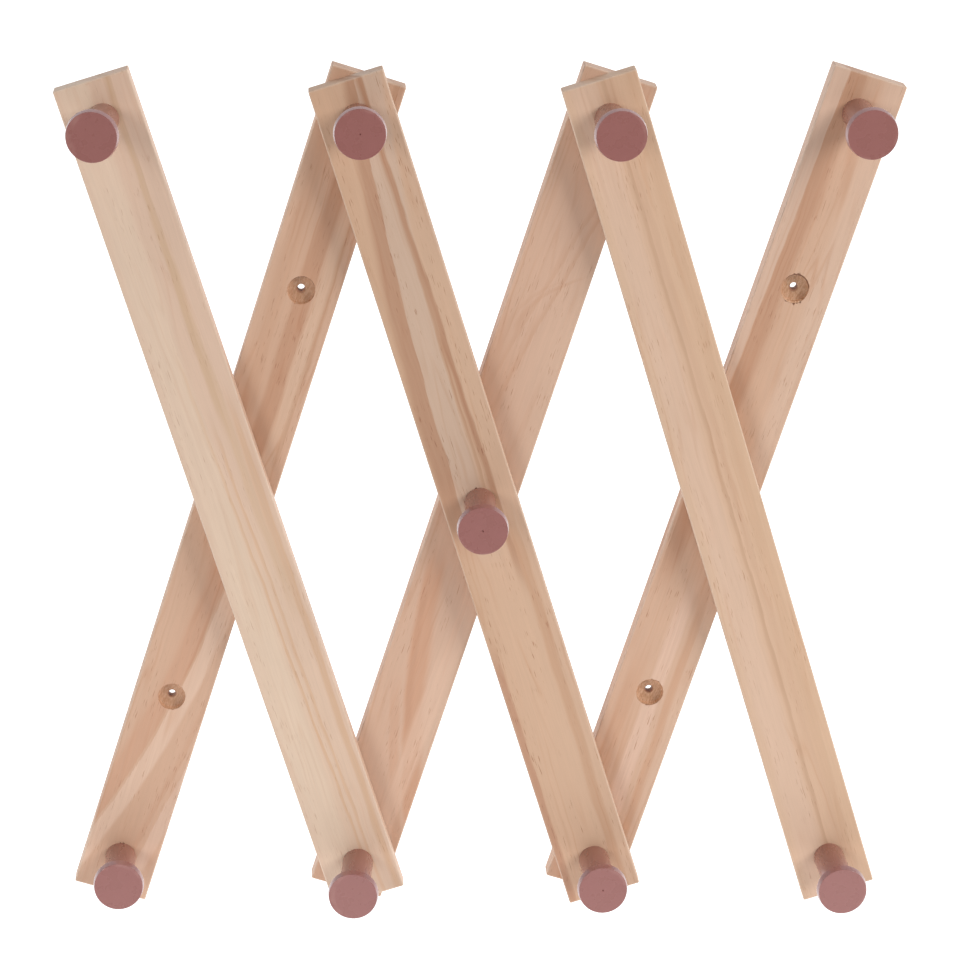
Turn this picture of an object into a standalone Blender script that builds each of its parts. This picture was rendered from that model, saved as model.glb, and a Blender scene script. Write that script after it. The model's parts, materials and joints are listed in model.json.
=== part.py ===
"""Expanding wooden peg rack: six crossed slats that fold like lazy tongs, with nine turned pegs.

Metres, +Z up. The rack hangs on a wall in the plane y = 0 and faces -Y. The origin is the middle
crossing, on the wall plane. Depths are measured forward from the wall plane, so a depth d lies at
y = -d. Every pivot axis runs along Y.
"""

import math

import bmesh
import bpy
from mathutils import Matrix, Vector

# Slats
SLAT_WIDTH = 0.038
SLAT_THICKNESS = 0.0105
LAYER_GAP = 0.0004  # running gap between the back layer and the front layer
PIVOT_REACH = 0.205  # along a slat, from its middle crossing to its end pivot
END_OVERHANG = 0.020  # along a slat, from its end pivot to its sawn end
REST_LEAN = math.radians(17.4)  # lean of every slat from the vertical, as shown
EDGE_BREAK = 0.0005  # rounding of the slats' sanded edges

# Pegs
PEG_PROJECTION = 0.042  # from the slat's face to the peg's flat end
HEAD_FACE_RADIUS = 0.01225  # flat end of the head, with a crisp edge
HEAD_RADIUS = 0.0128  # back edge of the head, to which its side flares
HEAD_THICKNESS = 0.0045
STEM_RADIUS = 0.0078
COVE_RADIUS = 0.003  # hollow between the stem and the back of the head
TENON_RADIUS = 0.0047  # reduced end of the peg, which the back slat turns on
SEAT_DEPTH = 0.0025  # how far the full stem is let into the slat

# Fixings
SCREW_RADIUS = 0.0018
SCREW_HEAD_RADIUS = 0.0044
SCREW_HEAD_THICKNESS = 0.0021
PEG_SCREW_LENGTH = 0.022
PIVOT_SCREW_LENGTH = 0.014
WASHER_RADIUS = 0.0075
WASHER_THICKNESS = 0.0012
FIXING_POCKET_RADIUS = 0.0081
FIXING_POCKET_DEPTH = 0.0044

# Wall-screw holes, in the two outer back slats
WALL_HOLE_REACH = 0.112  # along the slat, from its middle crossing
WALL_HOLE_RADIUS = 0.002
WALL_POCKET_RADIUS = 0.0068
WALL_POCKET_DEPTH = 0.004
WALL_POCKET_CONE = 0.001  # extra depth of the drill's shallow cone

CLEARANCE = 0.0003  # gap between pieces that touch or are glued
CUT_MARGIN = 0.001  # how far a cutter stands out of the wood
TURNED_SIDES = 24
FIXING_SIDES = 16
CORNER_ANGLE = math.radians(50)  # an edge sharper than this is shaded as a corner

UNIT_PITCH = 2 * PIVOT_REACH * math.sin(REST_LEAN)
ROW_HEIGHT = PIVOT_REACH * math.cos(REST_LEAN)
FRONT_LAYER_DEPTH = SLAT_THICKNESS + LAYER_GAP
BACK_FACE_DEPTH = SLAT_THICKNESS
FRONT_FACE_DEPTH = FRONT_LAYER_DEPTH + SLAT_THICKNESS

# A screw head and its washer lie in the fixing pocket, measured forward from the slat's rear face.
WASHER_FRONT_DEPTH = FIXING_POCKET_DEPTH - CLEARANCE
WASHER_REAR_DEPTH = WASHER_FRONT_DEPTH - WASHER_THICKNESS
SCREW_HEAD_DEPTH = WASHER_REAR_DEPTH - CLEARANCE

# The pivots, as (x, z): three crossings on the middle line, four slat ends above and four below.
CROSSINGS = [Vector(((unit - 1) * UNIT_PITCH, 0.0)) for unit in range(3)]
TOPS = [Vector(((place - 1.5) * UNIT_PITCH, ROW_HEIGHT)) for place in range(4)]
BOTTOMS = [Vector(((place - 1.5) * UNIT_PITCH, -ROW_HEIGHT)) for place in range(4)]


def srgb(red, green, blue):
    """Turn an 8-bit screen colour into the linear colour that a shader takes."""
    return [((value / 255 + 0.055) / 1.055) ** 2.4 for value in (red, green, blue)] + [1.0]


def make_material(name, colour, roughness, metallic):
    """Make one Principled material."""
    material = bpy.data.materials.new(name)
    material.use_nodes = True
    shader = material.node_tree.nodes["Principled BSDF"]
    shader.inputs["Base Color"].default_value = colour
    shader.inputs["Roughness"].default_value = roughness
    shader.inputs["Metallic"].default_value = metallic
    material.diffuse_color = colour
    return material


def clear_scene():
    """Remove every object, so that the script always starts from nothing."""
    for old in list(bpy.data.objects):
        bpy.data.objects.remove(old, do_unlink=True)


def make_collection(name):
    """Make a collection in the scene."""
    collection = bpy.data.collections.new(name)
    bpy.context.scene.collection.children.link(collection)
    return collection


class Rack:
    """The rack's collections, its hinge empties and where each of them stands."""

    def __init__(self):
        self.parts = make_collection("expanding_peg_rack")
        self.cutters = make_collection("cutters")
        self.hinges = {}
        self.places = {}

    def add_hinge(self, body, parent, pivot, lean):
        """Add a body's empty on its joint axis, turned with the body, under its parent's empty."""
        empty = bpy.data.objects.new("hinge_" + body, None)
        empty.empty_display_size = 0.03
        self.parts.objects.link(empty)
        place = Matrix.Translation((pivot.x, 0, pivot.y)) @ Matrix.Rotation(lean, 4, "Y")
        self.hinges[body] = empty
        self.places[body] = place
        self.attach(empty, parent, place)

    def attach(self, obj, body, place):
        """Parent an object to a body's empty, and stand it at a place given in the world."""
        if body is None:
            obj.matrix_basis = place
            return
        obj.parent = self.hinges[body]
        obj.matrix_basis = self.places[body].inverted() @ place

    def add_part(self, name, mesh, body, place, material):
        """Add one sub-part to a body."""
        part = bpy.data.objects.new(name, mesh)
        self.parts.objects.link(part)
        self.attach(part, body, place)
        part.data.materials.clear()
        part.data.materials.append(material)
        return part

    def add_cutter(self, name, mesh, body, place):
        """Add a cutter that moves with a body and stays out of the finished rack."""
        cutter = bpy.data.objects.new(name, mesh)
        cutter.hide_render = True
        cutter.display_type = "WIRE"
        self.cutters.objects.link(cutter)
        self.attach(cutter, body, place)
        return cutter


def forward_axis_at(pivot):
    """Stand a turned piece's +Z along a pivot axis, forward from the wall plane."""
    return Matrix.Translation((pivot.x, 0, pivot.y)) @ Matrix.Rotation(math.pi / 2, 4, "X")


def profile_mesh(name, points, closed):
    """Make a profile of (radius, depth) points, which runs down its outer side."""
    mesh = bpy.data.meshes.new(name)
    profile = bmesh.new()
    corners = [profile.verts.new((radius, 0, depth)) for radius, depth in points]
    for upper, lower in zip(corners, corners[1:]):
        profile.edges.new((upper, lower))
    if closed:
        profile.edges.new((corners[-1], corners[0]))
    profile.to_mesh(mesh)
    profile.free()
    return mesh


def turn(obj, sides):
    """Turn an object's profile about its own Z axis."""
    screw = obj.modifiers.new("turn", "SCREW")
    screw.axis = "Z"
    screw.angle = 2 * math.pi
    screw.steps = sides
    screw.render_steps = sides
    screw.use_merge_vertices = True
    screw.merge_threshold = 0.00001
    screw.use_smooth_shade = False


def arc(centre_radius, centre_depth, radius, start, end, steps):
    """Give points round an arc. Angles are in degrees, from outward towards forward."""
    points = []
    for step in range(steps + 1):
        angle = math.radians(start + (end - start) * step / steps)
        points.append((centre_radius + radius * math.cos(angle), centre_depth + radius * math.sin(angle)))
    return points


def slat_mesh(name):
    """Make a slat along Z round its middle crossing, from y = 0 forward to its front face."""
    length = 2 * (PIVOT_REACH + END_OVERHANG)
    mesh = bpy.data.meshes.new(name)
    block = bmesh.new()
    bmesh.ops.create_cube(block, size=1.0)
    bmesh.ops.scale(block, vec=(SLAT_WIDTH, SLAT_THICKNESS, length), verts=block.verts)
    bmesh.ops.translate(block, vec=(0, -SLAT_THICKNESS / 2, 0), verts=block.verts)
    block.to_mesh(mesh)
    block.free()
    return mesh


def add_slat(rack, name, pivot, rear_depth, lean, material):
    """Add a slat with its sanded edges. Its name is its body's name too."""
    place = Matrix.Translation((pivot.x, -rear_depth, pivot.y)) @ Matrix.Rotation(lean, 4, "Y")
    slat = rack.add_part(name, slat_mesh(name), name, place, material)
    bevel = slat.modifiers.new("sanded_edges", "BEVEL")
    bevel.width = EDGE_BREAK
    bevel.segments = 2
    bevel.limit_method = "ANGLE"
    return slat


def drill(rack, slat, hole_name, pivot, profile):
    """Cut a turned hole, given as (radius, depth) points, through a slat at a pivot."""
    name = slat.name + "_" + hole_name
    cutter = rack.add_cutter(name, profile_mesh(name, profile, False), slat.name, forward_axis_at(pivot))
    turn(cutter, TURNED_SIDES)
    boolean = slat.modifiers.new(hole_name, "BOOLEAN")
    boolean.operation = "DIFFERENCE"
    boolean.solver = "EXACT"
    boolean.object = cutter


def peg_hole(face_depth, rear_depth, has_seat, has_pocket):
    """Outline a peg's hole: a seat for the stem in front, a bore, and a fixing pocket behind."""
    bore = TENON_RADIUS + CLEARANCE
    front = face_depth + CUT_MARGIN
    rear = rear_depth - CUT_MARGIN
    outline = []
    if has_seat:
        seat = STEM_RADIUS + CLEARANCE
        floor = face_depth - SEAT_DEPTH
        outline += [(0, front), (seat, front), (seat, floor), (bore, floor)]
    else:
        outline += [(0, front), (bore, front)]
    if has_pocket:
        floor = rear_depth + FIXING_POCKET_DEPTH
        outline += [(bore, floor), (FIXING_POCKET_RADIUS, floor), (FIXING_POCKET_RADIUS, rear), (0, rear)]
    else:
        outline += [(bore, rear), (0, rear)]
    return outline


def pivot_screw_bore():
    """Outline the hole behind a hidden pivot: clear for the screw, with a pocket for its head."""
    bore = SCREW_RADIUS + 2 * CLEARANCE
    return [
        (0, BACK_FACE_DEPTH + CUT_MARGIN),
        (bore, BACK_FACE_DEPTH + CUT_MARGIN),
        (bore, FIXING_POCKET_DEPTH),
        (FIXING_POCKET_RADIUS, FIXING_POCKET_DEPTH),
        (FIXING_POCKET_RADIUS, -CUT_MARGIN),
        (0, -CUT_MARGIN),
    ]


def pivot_screw_pilot():
    """Outline the blind hole in a front slat that a pivot screw bites into."""
    bore = SCREW_RADIUS + CLEARANCE
    end = SCREW_HEAD_DEPTH + PIVOT_SCREW_LENGTH + CLEARANCE
    rear = FRONT_LAYER_DEPTH - CUT_MARGIN
    return [(0, end + bore), (bore, end), (bore, rear), (0, rear)]


def wall_screw_hole():
    """Outline a wall-screw hole: a round pocket with a shallow cone, and a clear hole behind it."""
    front = BACK_FACE_DEPTH + CUT_MARGIN
    pocket_end = BACK_FACE_DEPTH - WALL_POCKET_DEPTH
    return [
        (0, front),
        (WALL_POCKET_RADIUS, front),
        (WALL_POCKET_RADIUS, pocket_end),
        (WALL_HOLE_RADIUS, pocket_end - WALL_POCKET_CONE),
        (WALL_HOLE_RADIUS, -CUT_MARGIN),
        (0, -CUT_MARGIN),
    ]


def peg_outline(face_depth, tenon_end_depth):
    """Outline a peg: head, cove, stem, tenon and the pilot hole up its axis."""
    end = face_depth + PEG_PROJECTION
    head_back = end - HEAD_THICKNESS
    shoulder = face_depth - SEAT_DEPTH + CLEARANCE
    pilot = SCREW_RADIUS + CLEARANCE
    pilot_end = tenon_end_depth - FIXING_POCKET_DEPTH + SCREW_HEAD_DEPTH + PEG_SCREW_LENGTH + CLEARANCE
    outline = [(0, end), (HEAD_FACE_RADIUS, end)]
    outline += [(HEAD_RADIUS, end - 0.8 * HEAD_THICKNESS), (HEAD_RADIUS, head_back)]
    outline += arc(STEM_RADIUS + COVE_RADIUS, head_back - COVE_RADIUS, COVE_RADIUS, 90, 180, 2)
    outline += [(STEM_RADIUS, shoulder), (TENON_RADIUS, shoulder), (TENON_RADIUS, tenon_end_depth)]
    outline += [(pilot, tenon_end_depth), (pilot, pilot_end), (0, pilot_end + pilot)]
    return outline


def screw_outline(head_depth, length):
    """Outline a pan-head screw, its point forward. The head's flat side is at head_depth."""
    tip = head_depth + length
    shank_end = tip - 2 * SCREW_RADIUS
    head_rear = head_depth - SCREW_HEAD_THICKNESS
    crown = 0.3 * SCREW_HEAD_THICKNESS
    return [
        (0, tip),
        (SCREW_RADIUS, shank_end),
        (SCREW_RADIUS, head_depth),
        (SCREW_HEAD_RADIUS, head_depth),
        (SCREW_HEAD_RADIUS, head_rear + 2 * crown),
        (0.8 * SCREW_HEAD_RADIUS, head_rear + 0.5 * crown),
        (0.45 * SCREW_HEAD_RADIUS, head_rear),
        (0, head_rear),
    ]


def washer_outline(front_depth):
    """Outline a flat washer as a closed ring section."""
    hole = SCREW_RADIUS + 1.5 * CLEARANCE
    rim = WASHER_RADIUS
    rear_depth = front_depth - WASHER_THICKNESS
    return [(rim, front_depth), (rim, rear_depth), (hole, rear_depth), (hole, front_depth)]


def shade_turned(part):
    """Apply a part's modifiers and shade it smooth, but for its corners."""
    profile = part.data
    evaluated = part.evaluated_get(bpy.context.evaluated_depsgraph_get())
    part.data = bpy.data.meshes.new_from_object(evaluated)
    part.modifiers.clear()
    bpy.data.meshes.remove(profile)
    part.data.name = part.name
    part.data.shade_smooth()
    part.data.set_sharp_from_angle(angle=CORNER_ANGLE)


def add_turned(rack, name, body, pivot, outline, closed, sides, material):
    """Add a turned sub-part on a pivot axis."""
    part = rack.add_part(name, profile_mesh(name, outline, closed), body, forward_axis_at(pivot), material)
    turn(part, sides)
    shade_turned(part)


def add_fixing(rack, label, body, pivot, rear_depth, length, steel):
    """Add a screw and its washer in a slat's rear pocket."""
    screw = screw_outline(rear_depth + SCREW_HEAD_DEPTH, length)
    washer = washer_outline(rear_depth + WASHER_FRONT_DEPTH)
    add_turned(rack, label[0], body, pivot, screw, False, FIXING_SIDES, steel)
    add_turned(rack, label[1], body, pivot, washer, True, FIXING_SIDES, steel)


def add_peg(rack, place_name, body, pivot, layers, paint, steel):
    """Add a peg with its screw and washer. The layers say which slats it goes through."""
    face_depth = FRONT_FACE_DEPTH if "front" in layers else BACK_FACE_DEPTH
    rear_depth = 0.0 if "back" in layers else FRONT_LAYER_DEPTH
    outline = peg_outline(face_depth, rear_depth + FIXING_POCKET_DEPTH)
    add_turned(rack, "peg_" + place_name, body, pivot, outline, False, TURNED_SIDES, paint)
    label = ("peg_screw_" + place_name, "peg_washer_" + place_name)
    add_fixing(rack, label, body, pivot, rear_depth, PEG_SCREW_LENGTH, steel)


def add_hinges(rack):
    """Stand every body on its joint axis, each under the body that it turns on."""
    rack.add_hinge("centre_pivot", None, CROSSINGS[1], 0.0)
    rack.add_hinge("front_slat_2", "centre_pivot", CROSSINGS[1], -REST_LEAN)
    rack.add_hinge("back_slat_2", "centre_pivot", CROSSINGS[1], REST_LEAN)
    rack.add_hinge("back_slat_1", "front_slat_2", TOPS[1], REST_LEAN)
    rack.add_hinge("front_slat_1", "back_slat_1", CROSSINGS[0], -REST_LEAN)
    rack.add_hinge("front_slat_3", "back_slat_2", TOPS[2], -REST_LEAN)
    rack.add_hinge("back_slat_3", "front_slat_3", CROSSINGS[2], REST_LEAN)


def add_slats(rack):
    """Add the six slats and drill them."""
    front_colours = (srgb(218, 190, 165), srgb(207, 174, 147), srgb(209, 175, 150))
    back_colours = (srgb(201, 162, 135), srgb(198, 160, 137), srgb(203, 163, 132))
    for unit in range(3):
        number = str(unit + 1)
        crossing = CROSSINGS[unit]
        has_centre_peg = unit == 1

        front_pine = make_material("pine_front_" + number, front_colours[unit], 0.6, 0.0)
        front = add_slat(rack, "front_slat_" + number, crossing, FRONT_LAYER_DEPTH, -REST_LEAN, front_pine)
        seat_only = peg_hole(FRONT_FACE_DEPTH, FRONT_LAYER_DEPTH, True, False)
        seat_and_pocket = peg_hole(FRONT_FACE_DEPTH, FRONT_LAYER_DEPTH, True, True)
        drill(rack, front, "top_hole", TOPS[unit], seat_and_pocket if unit == 0 else seat_only)
        drill(rack, front, "bottom_hole", BOTTOMS[unit + 1], seat_and_pocket if unit == 2 else seat_only)
        drill(rack, front, "middle_hole", crossing, seat_only if has_centre_peg else pivot_screw_pilot())

        back_pine = make_material("pine_back_" + number, back_colours[unit], 0.6, 0.0)
        back = add_slat(rack, "back_slat_" + number, crossing, 0.0, REST_LEAN, back_pine)
        pocket_only = peg_hole(BACK_FACE_DEPTH, 0.0, False, True)
        seat_and_pocket = peg_hole(BACK_FACE_DEPTH, 0.0, True, True)
        drill(rack, back, "top_hole", TOPS[unit + 1], seat_and_pocket if unit == 2 else pocket_only)
        drill(rack, back, "bottom_hole", BOTTOMS[unit], seat_and_pocket if unit == 0 else pocket_only)
        drill(rack, back, "middle_hole", crossing, pocket_only if has_centre_peg else pivot_screw_bore())
        if has_centre_peg:
            continue
        along = Vector((math.sin(REST_LEAN), math.cos(REST_LEAN)))
        for hole_name, side in (("upper_wall_hole", 1), ("lower_wall_hole", -1)):
            drill(rack, back, hole_name, crossing + side * WALL_HOLE_REACH * along, wall_screw_hole())


def add_pegs(rack):
    """Add the nine pegs and the two hidden pivots."""
    paint = make_material("rose_paint", srgb(160, 106, 104), 0.45, 0.0)
    steel = make_material("zinc_steel", srgb(190, 190, 192), 0.35, 1.0)
    both = ("front", "back")
    pegs = (
        ("top_1", "front_slat_1", TOPS[0], ("front",)),
        ("top_2", "front_slat_2", TOPS[1], both),
        ("top_3", "front_slat_3", TOPS[2], both),
        ("top_4", "back_slat_3", TOPS[3], ("back",)),
        ("centre", "centre_pivot", CROSSINGS[1], both),
        ("bottom_1", "back_slat_1", BOTTOMS[0], ("back",)),
        ("bottom_2", "front_slat_1", BOTTOMS[1], both),
        ("bottom_3", "front_slat_2", BOTTOMS[2], both),
        ("bottom_4", "front_slat_3", BOTTOMS[3], ("front",)),
    )
    for place_name, body, pivot, layers in pegs:
        add_peg(rack, place_name, body, pivot, layers, paint, steel)
    hidden_pivots = (("left", "front_slat_1", CROSSINGS[0]), ("right", "front_slat_3", CROSSINGS[2]))
    for side, body, pivot in hidden_pivots:
        label = ("pivot_screw_" + side, "pivot_washer_" + side)
        add_fixing(rack, label, body, pivot, 0.0, PIVOT_SCREW_LENGTH, steel)


def main():
    clear_scene()
    rack = Rack()
    add_hinges(rack)
    add_slats(rack)
    add_pegs(rack)


main()
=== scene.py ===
"""Looks of the expanding peg rack: pine slats, painted turned pegs and zinc-plated fixings."""

import json
import math

import bmesh
import bpy
from mathutils import Matrix, Vector

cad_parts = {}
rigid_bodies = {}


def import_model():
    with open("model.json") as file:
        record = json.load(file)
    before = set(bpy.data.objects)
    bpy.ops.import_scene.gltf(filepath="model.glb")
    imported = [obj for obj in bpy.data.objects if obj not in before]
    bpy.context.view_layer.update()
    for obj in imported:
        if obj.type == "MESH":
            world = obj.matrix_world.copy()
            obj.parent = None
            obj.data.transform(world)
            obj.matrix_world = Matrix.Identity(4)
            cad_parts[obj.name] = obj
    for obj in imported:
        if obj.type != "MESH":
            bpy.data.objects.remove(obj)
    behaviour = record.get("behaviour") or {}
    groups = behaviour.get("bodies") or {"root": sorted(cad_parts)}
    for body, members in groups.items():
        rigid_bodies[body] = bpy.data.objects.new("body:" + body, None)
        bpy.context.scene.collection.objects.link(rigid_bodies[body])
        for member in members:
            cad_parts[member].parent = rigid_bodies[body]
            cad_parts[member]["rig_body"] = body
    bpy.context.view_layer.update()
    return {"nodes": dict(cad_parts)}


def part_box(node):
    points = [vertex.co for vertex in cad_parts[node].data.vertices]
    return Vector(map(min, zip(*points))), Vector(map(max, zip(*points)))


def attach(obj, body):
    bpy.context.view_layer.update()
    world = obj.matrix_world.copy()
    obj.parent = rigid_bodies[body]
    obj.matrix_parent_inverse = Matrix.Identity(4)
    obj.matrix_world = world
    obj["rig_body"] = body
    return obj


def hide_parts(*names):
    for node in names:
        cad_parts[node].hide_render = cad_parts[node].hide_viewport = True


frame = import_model()

MM = 0.001
LEAN = math.radians(17.4)

# Slats, in metres
SLAT_WIDTH = 0.038
SLAT_THICKNESS = 0.0105
SLAT_HALF_LENGTH = 0.225
PIVOT_REACH = 0.205
WALL_HOLE_REACH = 0.112
THICKNESS_MM = SLAT_THICKNESS / MM
EDGE_BREAK = 0.0007
SANDED_OFF = 0.00011  # keeps the finer corners of the drawn slats inside the CAD ones
LEAST_CLEARANCE = 0.0003

# Holes
BORE_RADIUS = 0.005
SEAT_RADIUS = 0.00782
SEAT_DEPTH = 0.0025
FIXING_POCKET_RADIUS = 0.0081
FIXING_POCKET_DEPTH = 0.0044
WALL_HOLE_RADIUS = 0.00185
WALL_POCKET_RADIUS = 0.0068
WALL_POCKET_DEPTH = 0.004
WALL_POCKET_CONE = 0.001
SCREW_BORE_RADIUS = 0.0024
PILOT_RADIUS = 0.0021
PILOT_DEPTH = 0.0062
MOUTH_BREAK = 0.0003  # slight rounding of a hole's mouth
UPPER_WALL_HOLE_SHIFT = 0.0005  # further from the middle than the lower ones
MOUTH_RINGS = (1, 2)  # the rings of a hole's outline that are its mouth

# Pegs
PEG_PROJECTION = 0.042
HEAD_FACE_RADIUS = 0.01225
HEAD_RADIUS = 0.0128
HEAD_THICKNESS = 0.0045
HEAD_EDGE_ROUNDING = 0.00018
STEM_RADIUS = 0.0078
COVE_RADIUS = 0.003
TENON_RADIUS = 0.0047
PEG_PILOT_LENGTH = 0.0206
PEG_SHOULDER = -(PEG_PROJECTION + SEAT_DEPTH - LEAST_CLEARANCE)  # from the flat end

# Fixings
PEG_SCREW_LENGTH = 0.022
PIVOT_SCREW_LENGTH = 0.014
SCREW_RADIUS = 0.0018
SCREW_HEAD_RADIUS = 0.0044
SCREW_HEAD_THICKNESS = 0.0021
WASHER_RADIUS = 0.0075
WASHER_THICKNESS = 0.0012
WASHER_HOLE_RADIUS = 0.00225

# Sides of turned shapes
HOLE_SIDES = 64
TORN_SIDES = 160
PEG_SIDES = 96
SCREW_SIDES = 48
WASHER_SIDES = 72

# Corners sharper than this, in degrees, stay sharp
SLAT_CORNER = 38
PEG_CORNER = 40
SCREW_CORNER = 35

# Studio, in metres, watts and degrees
ROOM_COLOUR = (0.94, 0.965, 1.0, 1.0)
ROOM_LEVEL_FRONT = 0.16
ROOM_LEVEL_BACK = 0.9
ROOM_BACK_FROM = 0.35
FLOOR_HEIGHT = -0.42
FLOOR_HALF_SIZE = 12.0
FLOOR_GLOW = 1.25
FLOOR_GLOW_FROM = -1.25
FLOOR_GLOW_FULL = -0.35
LIGHT_COLOUR = (1.0, 0.98, 0.945)
LIGHT_TARGET = (0, 0, -0.05)
LENS_MM = 133.22
CAMERA_PLACE = (-0.0946, -1.7101, 0.5566)
CAMERA_YAW, CAMERA_PITCH, CAMERA_ROLL = -3.2, -17.85, 0.627


# ---------------------------------------------------------------------------
# Node helpers
# ---------------------------------------------------------------------------


class Shader:
    """A Principled material and short ways to wire nodes in it."""

    def __init__(self, name):
        self.material = bpy.data.materials.new(name)
        self.material.use_nodes = True
        self.tree = self.material.node_tree
        self.surface = self.tree.nodes["Principled BSDF"]

    def node(self, kind, **settings):
        made = self.tree.nodes.new("ShaderNode" + kind)
        for name, value in settings.items():
            setattr(made, name, value)
        return made

    def link(self, value, socket):
        """Feed a socket from another socket, or set it to a constant."""
        if isinstance(value, bpy.types.NodeSocket):
            self.tree.links.new(value, socket)
        else:
            socket.default_value = value

    def math(self, operation, *values, clamp=False):
        made = self.node("Math", operation=operation, use_clamp=clamp)
        for value, socket in zip(values, made.inputs):
            self.link(value, socket)
        return made.outputs[0]

    def remap(self, value, low, high, to_low=0.0, to_high=1.0):
        """Map a value smoothly from one range to another, held at the ends."""
        made = self.node("MapRange", interpolation_type="SMOOTHSTEP")
        for item, socket in zip((value, low, high, to_low, to_high), made.inputs):
            self.link(item, socket)
        return made.outputs[0]

    def mix(self, factor, first, second, blend="MIX"):
        made = self.node("Mix", data_type="RGBA", blend_type=blend)
        self.link(factor, made.inputs["Factor"])
        self.link(first, made.inputs[6])
        self.link(second, made.inputs[7])
        return made.outputs[2]

    def vector(self, x, y, z):
        made = self.node("CombineXYZ")
        for value, socket in zip((x, y, z), made.inputs):
            self.link(value, socket)
        return made.outputs[0]

    def noise(self, x, y, z, detail=2.0, rough=0.5):
        """Give smooth noise at a place, at one feature per unit of length."""
        made = self.node("TexNoise")
        self.link(self.vector(x, y, z), made.inputs["Vector"])
        made.inputs["Scale"].default_value = 1.0
        made.inputs["Detail"].default_value = detail
        made.inputs["Roughness"].default_value = rough
        return made.outputs["Fac"]

    def ramp(self, value, stops):
        made = self.node("ValToRGB")
        elements = made.color_ramp.elements
        while len(elements) < len(stops):
            elements.new(0.5)
        for element, (position, colour) in zip(elements, stops):
            element.position = position
            element.color = colour
        self.link(value, made.inputs[0])
        return made.outputs[0]

    def bump(self, height, strength, distance):
        made = self.node("Bump")
        made.inputs["Strength"].default_value = strength
        made.inputs["Distance"].default_value = distance
        self.link(height, made.inputs["Height"])
        return made.outputs[0]

    def times(self, first, second, clamp=False):
        return self.math("MULTIPLY", first, second, clamp=clamp)

    def plus(self, first, second):
        return self.math("ADD", first, second)

    def line(self, value, slope, offset, clamp=False):
        """Give value * slope + offset."""
        return self.math("MULTIPLY_ADD", value, slope, offset, clamp=clamp)

    def length(self, first, second):
        """Give the distance from the origin to a point of a plane."""
        return self.math("SQRT", self.plus(self.times(first, first), self.times(second, second)))

    def place_mm(self):
        """Give X, Y and Z in the object's own frame, in millimetres."""
        split = self.node("SeparateXYZ")
        scaled = self.node("VectorMath", operation="SCALE")
        self.link(self.node("TexCoord").outputs["Object"], scaled.inputs[0])
        scaled.inputs["Scale"].default_value = 1 / MM
        self.link(scaled.outputs[0], split.inputs[0])
        return split.outputs

    def set(self, **values):
        """Set constants of the surface, its spaces written as underscores."""
        for name, value in values.items():
            self.surface.inputs[name.replace("_", " ")].default_value = value


def srgb(red, green, blue):
    """Turn an 8-bit screen colour into a linear colour."""
    return tuple(((v / 255 + 0.055) / 1.055) ** 2.4 for v in (red, green, blue)) + (1.0,)


# ---------------------------------------------------------------------------
# Materials
# ---------------------------------------------------------------------------


# Colours of the wood
LATEWOOD = srgb(228, 196, 170)
RESIN = srgb(196, 158, 130)
# paler sanded wood and painted highlight along the slats' edges
SANDED_EDGE_HIGHLIGHT = srgb(229, 213, 197)
END_GRAIN_PALE = srgb(226, 215, 205)
END_GRAIN_DARK = srgb(200, 180, 164)
TORN_END = srgb(206, 168, 138)
# painted shade on the peg seats' walls
SEAT_SHADE = srgb(78, 52, 40)
DRILLED_DARK = srgb(190, 140, 104)
DRILLED_PALE = srgb(222, 184, 152)
# painted shade in the wall-screw bores
BORE_SHADE = srgb(172, 124, 97)
SPLINTER_SHADOW = srgb(112, 70, 48)

# Colours of the pegs' paint, and of the wood where it is thin
ROSE = srgb(155, 101, 97)
ROSE_SHADE = srgb(152, 99, 94)
ROSE_GRAIN = srgb(142, 91, 88)
# thin paint on the stems, partly painted bounce light from the pine
THIN_PAINT_AND_BOUNCE = srgb(157, 107, 90)
PALE_SPECK = srgb(180, 132, 128)
RUBBED_EDGE = srgb(196, 156, 146)

ZINC_PALE = srgb(203, 204, 208)
ZINC_DULL = srgb(168, 170, 172)


class Streak:
    """A band of darker or paler wood that runs along a slat. Lengths are in millimetres.

    It is centred on across + slope * z / 100 + bow * (z / 100) ** 2. start is its lower end and
    end its upper one, and it fades out beyond them; without them it runs off the slat.
    soft_left and soft_right are how wide its two sides fade.
    """

    def __init__(self, colour, strength, across, width, slope=0.0, bow=0.0,
                 soft_left=2.0, soft_right=2.0, start=None, end=None, fade=35.0):
        self.colour = colour
        self.strength = strength
        self.across = across
        self.width = width
        self.slope = slope
        self.bow = bow
        self.soft_left = soft_left
        self.soft_right = soft_right
        self.start = start
        self.end = end
        self.fade = fade


def streak_mask(s, streak, across, z):
    """Give how much of a streak there is at a place of the wood, from 0 to 1."""
    z_hundreds = s.times(z, 0.01)
    centre = s.line(z_hundreds, streak.slope, streak.across)
    if streak.bow:
        centre = s.line(s.times(z_hundreds, z_hundreds), streak.bow, centre)
    off = s.math("SUBTRACT", across, centre)
    half = streak.width / 2
    mask = s.times(s.remap(off, -half - streak.soft_left, -half),
                   s.remap(off, half, half + streak.soft_right, 1.0, 0.0))
    if streak.start is not None:
        mask = s.times(mask, s.remap(z, streak.start - streak.fade, streak.start))
    if streak.end is not None:
        mask = s.times(mask, s.remap(z, streak.end, streak.end + streak.fade, 1.0, 0.0))
    return mask


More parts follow.
